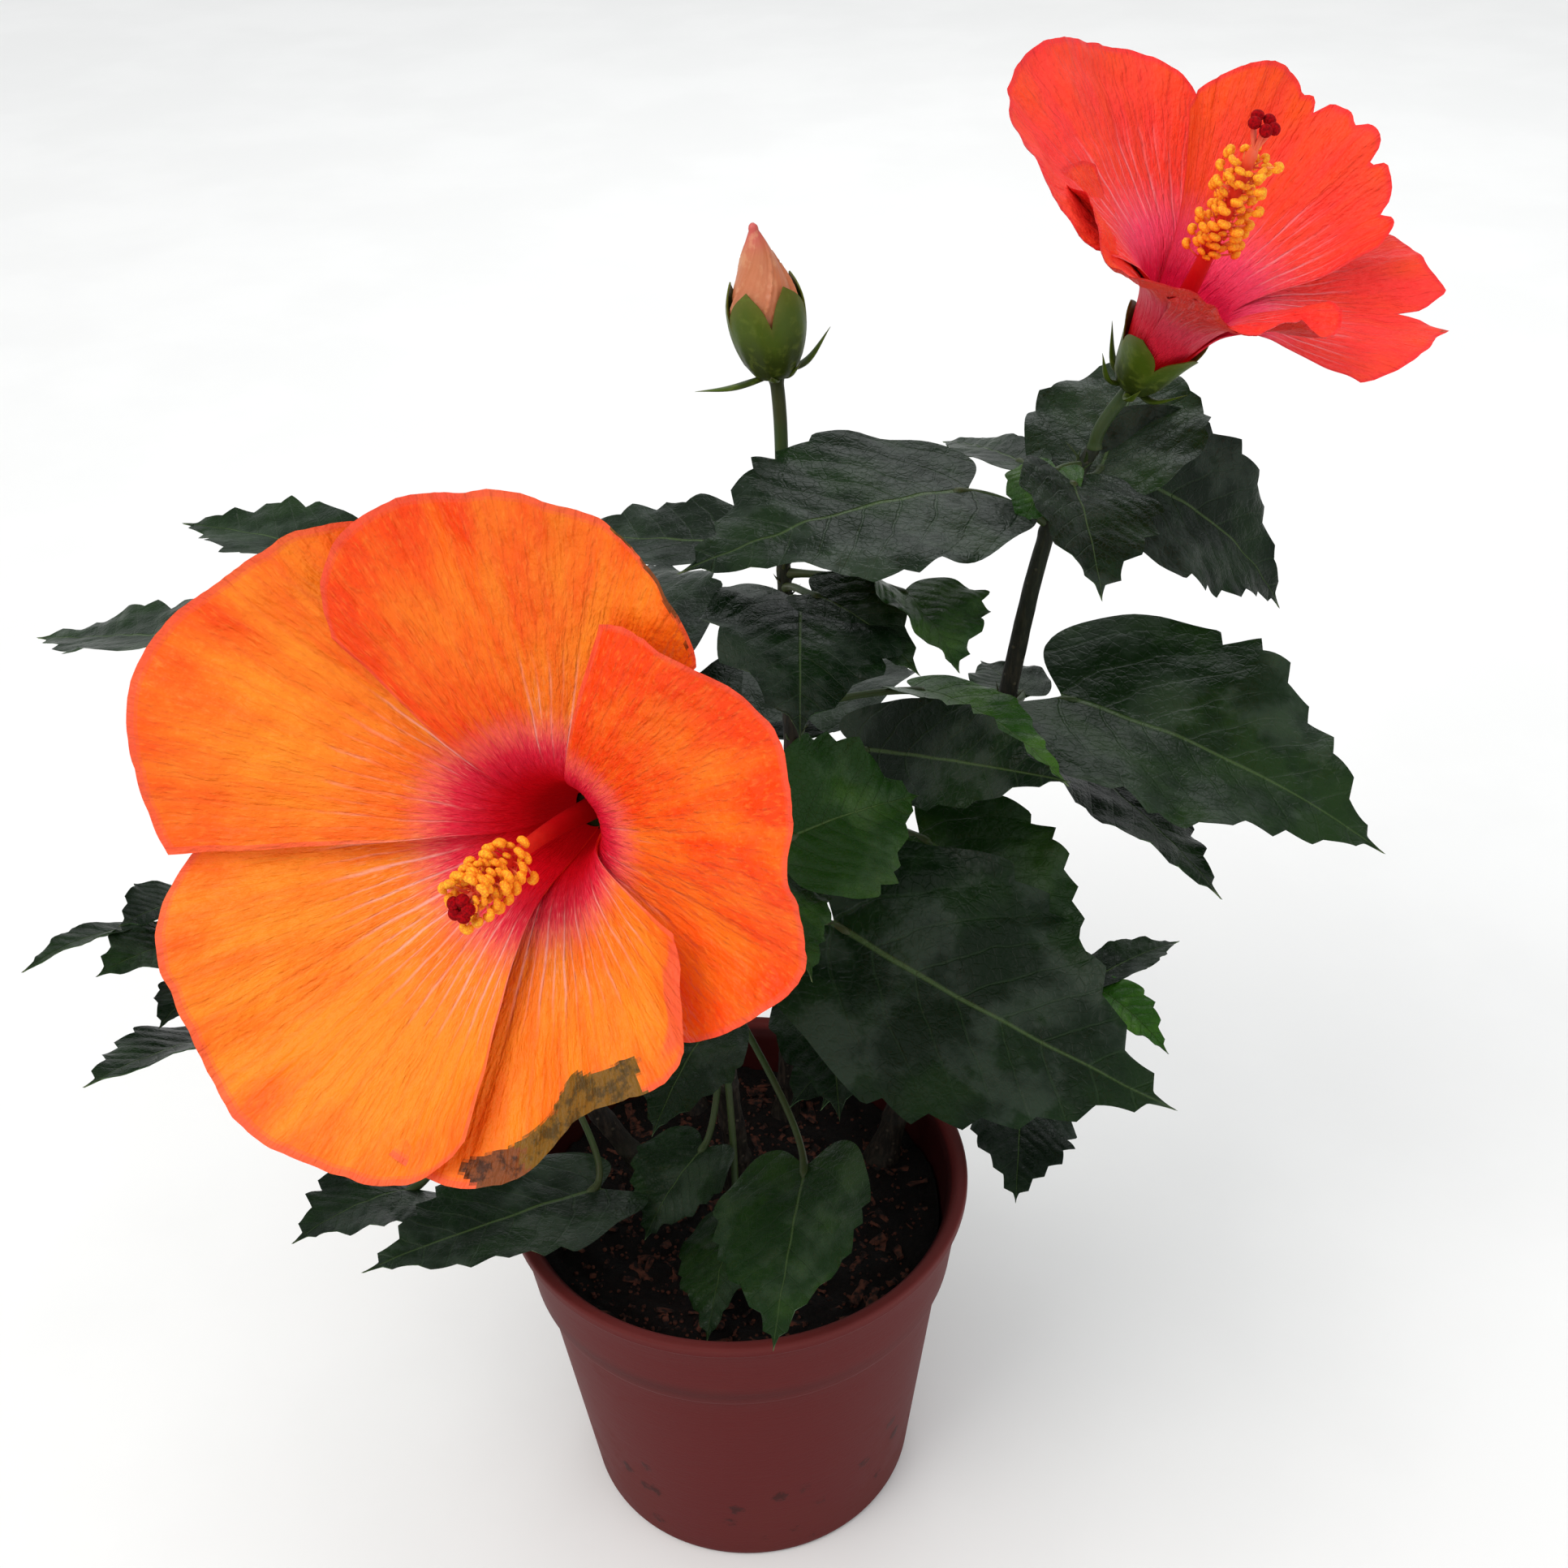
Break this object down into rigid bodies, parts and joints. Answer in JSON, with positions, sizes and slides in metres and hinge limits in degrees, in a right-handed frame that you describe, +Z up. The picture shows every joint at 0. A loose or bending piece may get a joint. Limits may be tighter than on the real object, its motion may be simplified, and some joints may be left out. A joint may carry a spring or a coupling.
{
  "type": "potted hibiscus shrub",
  "caption": "Small leafy shrub in a tapered nursery pot, with large open five-petalled blooms, each with a long column, and a closed bud.",
  "frame": {"origin": "centre of the pot's flat underside", "axes": "+Z up along the pot's axis, -Y the side that the front bloom faces, +X to its right as seen from there"},
  "size_m": [0.3573, 0.2786, 0.4054],
  "materials": {
    "pot": "matte",
    "soil": "rough",
    "stem": "rough",
    "leaf": "satin",
    "calyx": "matte",
    "orange_petal": "matte",
    "coral_petal": "matte",
    "column": "matte",
    "bud_petal": "matte"
  },
  "bodies": {
    "root": {"bud_calyx": "calyx", "bud_petals": "bud_petal", "front_bloom_calyx": "calyx", "front_bloom_column": "column", "front_bloom_petals": "orange_petal", "leaves_front_high": "leaf", "leaves_front_low": "leaf", "leaves_left_high": "leaf", "leaves_left_low": "leaf", "leaves_left_middle": "leaf", "leaves_middle_high": "leaf", "leaves_middle_low": "leaf", "leaves_rear_high": "leaf", "leaves_rear_low": "leaf", "leaves_right_high": "leaf", "leaves_right_low": "leaf", "leaves_right_middle": "leaf", "pot": "pot", "rear_bloom_calyx": "calyx", "rear_bloom_column": "column", "rear_bloom_petals": "coral_petal", "soil": "soil", "stem_front_1": "stem", "stem_front_2": "stem", "stem_left_1": "stem", "stem_left_2": "stem", "stem_left_3": "stem", "stem_middle_1": "stem", "stem_middle_2": "stem", "stem_rear_1": "stem", "stem_rear_2": "stem", "stem_right_1": "stem", "stem_right_2": "stem", "stem_right_3": "stem"}
  },
  "joints": []
}
